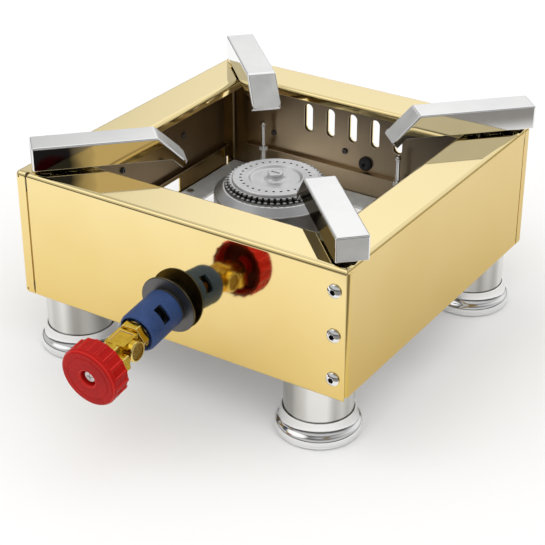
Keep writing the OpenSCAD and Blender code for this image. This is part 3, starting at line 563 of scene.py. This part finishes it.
def dress(node, width, segments=2, first=None, paint=None, extra=None):
    """Puts a copy of a CAD node with rounded edges in its place and on its body.

    width is the round's size in millimetres; 0 leaves the edges sharp.
    first is (test, width, segments): edges whose middle passes the test are rounded before.
    paint(middle, normal, on_edge) names another material for a face, or None.
    extra(bm) adds detail to the rounded mesh.
    """
    mesh, bm = clean_copy(node)
    bm.faces.layers.float.new("edge")
    rounds = [] if first is None else [first]
    rounds.append((lambda p: True, width, segments))
    for test, size, steps in rounds:
        bm.edges.index_update()
        picked = [
            e.index for e in sharp_edges(bm, ROUND_OVER)
            if test((e.verts[0].co + e.verts[1].co) / 2)
        ]
        if picked and size > 0:
            trial = rounded(bm, picked, size * MM, steps)
            bm.free()
            bm = trial
    if extra is not None:
        extra(bm)
    shade(bm, SHADE_SHARP_OVER)
    bm.to_mesh(mesh)
    bm.free()
    stand_in(node, mesh, paint)


def stand_in(node, mesh, paint=None):
    """Makes the piece that stands for a CAD node, in its slot's material."""
    piece = bpy.data.objects.new(node + "_piece", mesh)
    scene.collection.objects.link(piece)
    mesh.materials.clear()
    mesh.materials.append(MATERIALS[SLOTS[node]])
    if paint is not None:
        repaint(mesh, paint)
    weigh = piece.modifiers.new("weighted_normals", "WEIGHTED_NORMAL")
    weigh.keep_sharp = True
    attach(piece, BODY[node])
    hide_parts(node)


def repaint(mesh, paint):
    """Gives each face the material that paint names for it, if any."""
    edge = mesh.attributes.get("edge")
    index = {}
    for p in mesh.polygons:
        on_edge = edge is not None and edge.data[p.index].value > 0.5
        name = paint(p.center, p.normal, on_edge)
        if name is None:
            continue
        if name not in index:
            mesh.materials.append(MATERIALS[name])
            index[name] = len(mesh.materials) - 1
        p.material_index = index[name]


def all_in(name):
    """A paint that puts every face in one material."""
    return lambda middle, normal, on_edge: name


# How far a face looks one way, as the cosine of its normal to that way

SQUARE_ON = 0.9
MAINLY = 0.7
PARTLY = 0.5
ASIDE = 0.3

# Pan fingers: polished, with ground ends; the front two have a painted reflection on the side in
# view

FINGER_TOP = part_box("finger_fl")[1].z
UPPER_DEPTH = 14 * MM
UPPER_ROUND = 1.7
UPPER_STEPS = 4
INNER_SLANT = 0.4
CORNERS = {"fl": (-1, -1), "fr": (1, -1), "rr": (1, 1), "rl": (-1, 1)}
PAINTED_REFLECTION_SIDES = {
    "fl": ("chrome_side_painted_reflection", Vector((1, -1, 0)).normalized()),
    "fr": ("dark_side_painted_reflection", Vector((-1, -1, 0)).normalized()),
}


def finger_paint(corner):
    out = Vector((*CORNERS[corner], 0)).normalized()

    def paint(middle, normal, on_edge):
        if on_edge:
            return None
        if corner in PAINTED_REFLECTION_SIDES:
            name, way = PAINTED_REFLECTION_SIDES[corner]
            if normal.dot(way) > SQUARE_ON:
                return name
        outer_end = normal.dot(out) > SQUARE_ON
        inner_end = normal.dot(out) < -INNER_SLANT and normal.z > ASIDE
        return "ground_steel" if outer_end or inner_end else None

    return paint


def upper(p):
    return p.z > FINGER_TOP - UPPER_DEPTH


for corner in CORNERS:
    softened = (upper, UPPER_ROUND, UPPER_STEPS)
    dress("finger_" + corner, 0.5, first=softened, paint=finger_paint(corner))

# Panels: bright outside, heat-tinted inside the walls; painted light makes the rim's level faces
# paler, painted shade makes the right wall deeper and the inside and undersides of the walls
# darker

WALL_ZONE = 4 * MM
WALL_IN = (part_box("rear_panel")[1].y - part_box("front_panel")[0].y) / 2 - WALL_ZONE


def wall_paint(middle, normal, on_edge):
    away = Vector((middle.x - CENTRE.x, middle.y - CENTRE.y, 0))
    # Level faces: the paler rim sheet, as painted light.
    if normal.z > MAINLY and not on_edge:
        return "gold_rim_painted_light"
    if max(abs(away.x), abs(away.y)) < WALL_IN and normal.z > -PARTLY:
        return None
    axis = Vector((1, 0, 0)) if abs(away.x) > abs(away.y) else Vector((0, 1, 0))
    inward = -axis if away.dot(axis) > 0 else axis
    if normal.dot(inward) > MAINLY or normal.z < -MAINLY:
        # Inside the walls and below them: heat tint and painted shade.
        return "dark_liner" if inward.y < 0 and normal.y < -MAINLY else "heat_tint_and_painted_shade"
    # The right wall: the deeper sheet, as painted shade.
    return "gold_side_painted_shade" if away.x > WALL_IN and normal.x > MAINLY else None


for node in ("front_panel", "right_panel", "rear_panel", "left_panel"):
    dress(node, 0.3, paint=wall_paint)

# Burner: two rows of beads between the ports, ports and holes in black painted shade

ring_low, ring_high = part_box("port_ring")
RING_MID = (ring_low + ring_high) / 2
RING_R = (ring_high.x - ring_low.x) / 2
ROW_H = (ring_high.z - ring_low.z) / 2
ROW_STEP = 2.4 * MM
ROWS = ((RING_R, ring_low.z), (RING_R - ROW_STEP, ring_low.z + ROW_H))
HOLE_R = RING_R - 8 * MM
CORE_R = RING_R - 4.4 * MM
CORE_ZONE = 0.1 * MM
PLATE_T = 0.8 * MM
PLATE_ROUND = 0.3 * MM
RING_SHARP_OVER = 50
RING_STEPS = 96
BEADS = 50
BEAD = (1.7 * MM, 1.65 * MM, 1.2 * MM)
BEAD_BOXY = 0.72
CAP_HOLES = (26 * MM, 31 * MM)
BOWL_INSIDE = 13 * MM


def lathe(bm, outline, middle, steps):
    """Turns a closed outline of (radius, height) points round an upright axis.

    The outline runs outwards low down and inwards high up, so the faces look outwards.
    """
    turns = []
    for i in range(steps):
        t = math.tau * i / steps
        turns.append([
            bm.verts.new((middle.x + r * math.cos(t), middle.y + r * math.sin(t), z))
            for r, z in outline
        ])
    for i, here in enumerate(turns):
        there = turns[(i + 1) % steps]
        for j in range(len(outline)):
            n = (j + 1) % len(outline)
            bm.faces.new((here[j], there[j], there[n], here[n]))


def from_axis(middle):
    """Level way from the burner's axis to a place."""
    return Vector((middle.x - RING_MID.x, middle.y - RING_MID.y, 0))


def ring_paint(middle, normal, on_edge):
    """Black painted shade on the core behind the beads."""
    if from_axis(middle).length < CORE_R + CORE_ZONE:
        return "burner_painted_shade" if normal.z < PARTLY else None
    return "cast_skin"


def port_ring():
    """Two rows of rounded beads on a thin plate, before a core in painted shade."""
    bm = bmesh.new()
    low, high = ring_low.z, ring_high.z
    lathe(bm, [
        (HOLE_R, low), (RING_R - PLATE_ROUND, low), (RING_R, low + PLATE_ROUND),
        (RING_R - PLATE_ROUND, low + PLATE_T), (CORE_R, low + PLATE_T),
        (CORE_R, high), (HOLE_R, high),
    ], RING_MID, RING_STEPS)
    for radius, z in ROWS:
        for i in range(BEADS):
            t = math.tau * (i + 0.5) / BEADS
            spot = Vector((
                RING_MID.x + (radius - BEAD[0]) * math.cos(t),
                RING_MID.y + (radius - BEAD[0]) * math.sin(t),
                z + PLATE_T + (ROW_H - PLATE_T) / 2,
            ))
            place = Matrix.Translation(spot) @ Matrix.Rotation(t, 4, "Z")
            bead = bmesh.ops.create_uvsphere(bm, u_segments=14, v_segments=9, radius=1)["verts"]
            for v in bead:
                v.co = place @ Vector([
                    s * math.copysign(abs(c) ** BEAD_BOXY, c) for s, c in zip(BEAD, v.co)
                ])
    shade(bm, RING_SHARP_OVER)
    mesh = bpy.data.meshes.new("port_ring_beads")
    bm.to_mesh(mesh)
    bm.free()
    stand_in("port_ring", mesh, ring_paint)


def cap_paint(middle, normal, on_edge):
    """Black painted shade in the ring of small holes and under the cap."""
    inner, outer = CAP_HOLES
    in_hole = inner < from_axis(middle).length < outer and abs(normal.z) < ASIDE
    return "burner_painted_shade" if in_hole or normal.z < -PARTLY else None


def bowl_paint(middle, normal, on_edge):
    """Black painted shade inside the bowl, the skin as cast outside."""
    out = from_axis(middle)
    inside = out.length < HOLE_R + BOWL_INSIDE and normal.dot(out) < -PARTLY * out.length
    if inside or (out.length < HOLE_R and normal.z > PARTLY):
        return "burner_painted_shade"
    return None if on_edge else "cast_skin"


port_ring()
dress("burner_cap", 0.3, paint=cap_paint)
dress("burner_bowl", 0.9, segments=3, paint=bowl_paint)

# Panel screws: one above another, with hexagon sockets darkened black as painted shade

screw_low, screw_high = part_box("panel_screws")
SCREWS = 3
HEAD = screw_high.x - screw_low.x
SCREW_STEP = (screw_high.z - screw_low.z - HEAD) / (SCREWS - 1)
SCREW_MIDDLES = [screw_low.z + i * SCREW_STEP + HEAD / 2 for i in range(SCREWS)]
SOCKET_R = 2.5 * MM
SOCKET_FLOOR_R = SOCKET_R * 0.95
SOCKET_DEEP = 0.9 * MM


def socket_paint(middle, normal, on_edge):
    """Painted shade: black walls and floors of the sockets."""
    across = middle.x - (screw_low.x + screw_high.x) / 2
    off = min(math.hypot(across, middle.z - z) for z in SCREW_MIDDLES)
    on_wall = off < SOCKET_R and abs(normal.y) < PARTLY
    on_floor = off < SOCKET_FLOOR_R and middle.y > screw_low.y + SOCKET_DEEP
    return "oiled_black_and_painted_shade" if on_wall or on_floor else None


dress("panel_screws", 0.25, paint=socket_paint)

# Small pieces in another finish than their slot's, and the air tube in painted shade

dress("finger_spacers", 0.3, paint=all_in("oiled_black_and_painted_shade"))
dress("rear_rods", 0.2, paint=all_in("polished_steel"))
dress("rear_rod_nuts", 0.25, paint=all_in("polished_steel"))
dress("base_frame", 0.3, paint=all_in("galvanised"))
# The air tube, seen through the sleeve's window, is painted black as shade.
dress("air_tube", 0.3, paint=all_in("oiled_black_and_painted_shade"))
dress("knob_screw", 0.3, paint=all_in("zinc_steel"))

# Inlet: a grainy filter in its mouth

inlet_low, inlet_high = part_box("inlet_stub")
INLET_MID = (inlet_low + inlet_high) / 2
FILTER_R = (inlet_high.z - inlet_low.z) / 2 * 0.75
FILTER_DEEP = 0.3 * MM


def inlet_paint(middle, normal, on_edge):
    off = math.hypot(middle.y - INLET_MID.y, middle.z - INLET_MID.z)
    sunk = inlet_high.x - middle.x > FILTER_DEEP
    return "sintered" if normal.x > SQUARE_ON and off < FILTER_R and sunk else None


dress("inlet_stub", 0.35, paint=inlet_paint)

# Valve train: it leaves the front panel on a slightly falling axis

TRAIN_Z = 0.090
TRAIN_TILT = math.radians(8)
TRAIN_FROM = Vector((CENTRE.x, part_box("front_panel")[0].y, TRAIN_Z))
TRAIN_DIR = Vector((0, -math.cos(TRAIN_TILT), -math.sin(TRAIN_TILT)))

# Knob: a fine raised ring on its face, a dark back

KNOB_FACE = 103.8 * MM
KNOB_BACK = 0.6
RING_OUTLINE = [
    (18.1 * MM, -0.3 * MM), (17.9 * MM, 0.22 * MM), (17.2 * MM, 0.22 * MM), (17.0 * MM, -0.3 * MM),
]
KNOB_STEPS = 72


def knob_ring(bm):
    before = set(bm.verts)
    lathe(bm, RING_OUTLINE, Vector((0, 0, 0)), KNOB_STEPS)
    new = [v for v in bm.verts if v not in before]
    turn = TRAIN_DIR.to_track_quat("Z", "Y").to_matrix().to_4x4()
    place = Matrix.Translation(TRAIN_FROM + TRAIN_DIR * KNOB_FACE) @ turn
    bmesh.ops.transform(bm, matrix=place, verts=new)


def knob_paint(middle, normal, on_edge):
    return "knob_back" if normal.dot(TRAIN_DIR) < -KNOB_BACK else None


dress("knob", 0.5, paint=knob_paint, extra=knob_ring)

# Valve: the outside is rounded; the bores and a very thin step stay sharp

BORES_END = 7 * MM
THIN_STEP = 71.8 * MM
STEP_ZONE = 0.3 * MM
VALVE_ROUND = 0.4
VALVE_STEPS = 2


def outside(p):
    off = p - TRAIN_FROM
    far = off.dot(TRAIN_DIR)
    across = (off - TRAIN_DIR * far).length
    return across > BORES_END and abs(far - THIN_STEP) > STEP_ZONE


dress("valve_body", 0, first=(outside, VALVE_ROUND, VALVE_STEPS))

# Everything else in view, by the size of its rounds in millimetres

WIDTHS = {
    "liner_front": 0.2, "liner_right": 0.2, "liner_rear": 0.2, "liner_left": 0.2,
    "liner_screws": 0.15, "rear_grommet": 0.4, "base_rivets": 0.3, "corner_plates": 0.2,
    "finger_bolts": 0.3,
    "post_fl": 0.5, "post_fr": 0.5, "post_rr": 0.5, "post_rl": 0.5,
    "foot_fl": 0.3, "foot_fr": 0.3, "foot_rr": 0.3, "foot_rl": 0.3,
    "pad_fl": 0.6, "pad_fr": 0.6, "pad_rr": 0.6, "pad_rl": 0.6,
    "foot_bolts": 0.4, "crossbar": 0.4, "crossbar_screws": 0.3, "burner_pillars": 0.4,
    "cap_screw": 0.3, "mixing_tube": 0.4, "panel_bush": 0.5, "shield_disc": 0.4,
    "air_sleeve": 0.5, "side_stub": 0.6, "valve_bonnet": 0.4,
}
for node, width in WIDTHS.items():
    dress(node, width)

# What is hidden inside keeps its CAD mesh
for node, obj in NODES.items():
    if not obj.hide_render:
        obj.data.materials.clear()
        obj.data.materials.append(MATERIALS[SLOTS[node]])

# Floor: white paper; in polished metal it ends in a dark room towards the camera

WHITE = (1, 1, 1, 1)
SEEN = ("Is Camera Ray", "Is Glossy Ray", "Is Transmission Ray")
FLOOR_HALF = 7
FLOOR_TONE = (0.84, 0.84, 0.84, 1)
FLOOR_LIFT = 0.03
ROOM_TONE = (0.28, 0.265, 0.245, 1)
ROOM_WAY = (0.64, -0.77, 0.0)
ROOM_NEAR = 0.252
ROOM_FAR = 0.33


def floor_paper():
    mat = bpy.data.materials.new("floor_paper")
    mat.use_nodes = True
    mat.node_tree.nodes.clear()
    g = Graph(mat.node_tree)
    path = g.add("ShaderNodeLightPath")
    matt = g.add("ShaderNodeBsdfDiffuse", {"Color": FLOOR_TONE})
    lift = g.math("MULTIPLY", g.any_of(path, SEEN), FLOOR_LIFT)
    glow = g.add("ShaderNodeEmission", {"Color": WHITE, "Strength": lift})
    lifted = g.add("ShaderNodeAddShader", {0: matt.outputs[0], 1: glow.outputs[0]})
    room = g.add("ShaderNodeEmission", {"Color": ROOM_TONE})
    place = g.add("ShaderNodeNewGeometry").outputs["Position"]
    fade = g.ramp(g.dot(place, ROOM_WAY), ROOM_NEAR, ROOM_FAR)
    mirrored = g.math("MULTIPLY", fade, path.outputs["Is Glossy Ray"])
    ground = g.mixed(mirrored, lifted.outputs[0], room.outputs[0])
    g.add("ShaderNodeOutputMaterial", {"Surface": ground})
    return mat


ground_mesh = bpy.data.meshes.new("floor")
ground_mesh.from_pydata(
    [(x * FLOOR_HALF, y * FLOOR_HALF, 0.0) for x, y in ((-1, -1), (1, -1), (1, 1), (-1, 1))],
    [], [(0, 1, 2, 3)],
)
floor = bpy.data.objects.new("floor", ground_mesh)
scene.collection.objects.link(floor)
floor.data.materials.append(floor_paper())

# World: polished metal sees a bright screen behind the object, a dark room on the camera's
# side, two lights overhead and a ring of fill; a soft dome lights the rest; the camera itself
# sees plain white beyond the floor

BACK = Vector((-0.545, 0.839, 0.0))
RIGHT = Vector((0.839, 0.545, 0.0))
UP = Vector((0.0, 0.0, 1.0))
KEY_WAY = Vector((-0.47, -0.39, 0.79)).normalized()
TOP_WAY = Vector((-0.20, 0.30, 0.93)).normalized()

# Each ramp: a way, two cosines to it, and the strengths at the first and the second
SCREEN = (BACK, -0.75, 0.55, 0.10, 1.05)
SCREEN_LEFT = (RIGHT, -0.26, 0.02, 0.52, 1.0)
SCREEN_RIGHT = (RIGHT, 0.05, 0.40, 1.0, 0.85)
SCREEN_LOW = (UP, 0.28, 0.47, 0.82, 1.0)
HORIZON = (UP, 0.02, 0.20, 0.25, 1.0)
KEY_LIGHT = (KEY_WAY, 0.90, 0.97, 0.0, 1.1)
TOP_LIGHT = (TOP_WAY, 0.86, 0.97, 0.0, 0.95)
FILL_RISE = (UP, 0.10, 0.32, 0.08, 0.58)
FILL_FALL = (UP, 0.55, 0.80, 1.0, 0.2)
DOME = (UP, 0.0, 0.8, 0.42, 1.30)
DOME_FRONT = (BACK, -0.8, 0.8, 1.40, 0.60)


def studio():
    world = bpy.data.worlds.new("studio")
    world.use_nodes = True
    world.node_tree.nodes.clear()
    g = Graph(world.node_tree)
    way_in = g.add("ShaderNodeTexCoord").outputs["Generated"]

    def product(*ramps):
        total = None
        for way, *numbers in ramps:
            part = g.ramp(g.dot(way_in, way), *numbers)
            total = part if total is None else g.math("MULTIPLY", total, part)
        return total

    def backdrop(strength):
        feeds = {"Color": WHITE, "Strength": strength}
        return g.add("ShaderNodeBackground", feeds).outputs[0]

    seen = product(SCREEN, SCREEN_LEFT, SCREEN_RIGHT, SCREEN_LOW, HORIZON)
    for light in (product(KEY_LIGHT), product(TOP_LIGHT), product(FILL_RISE, FILL_FALL)):
        seen = g.math("MAXIMUM", seen, light)
    ambient = product(DOME, DOME_FRONT)
    path = g.add("ShaderNodeLightPath")
    around = g.mixed(g.any_of(path, SEEN), backdrop(ambient), backdrop(seen))
    final = g.mixed(path.outputs["Is Camera Ray"], around, backdrop(1.0))
    g.add("ShaderNodeOutputWorld", {"Surface": final})
    return world


scene.world = studio()

# Two soft lamps that polished metal doesn't see

LAMP_AIM = Vector((0, 0.05, 0.1))


def softbox(name, spot, size, power):
    data = bpy.data.lights.new(name, "AREA")
    data.shape = "SQUARE"
    data.size = size
    data.energy = power
    lamp = bpy.data.objects.new(name, data)
    lamp.location = spot
    lamp.rotation_euler = (LAMP_AIM - Vector(spot)).to_track_quat("-Z", "Y").to_euler()
    lamp.visible_glossy = False
    scene.collection.objects.link(lamp)


softbox("key", spot=(-1.2, -1.0, 2.0), size=1.1, power=3)
softbox("top", spot=(-0.1, 0.2, 2.3), size=1.4, power=2)
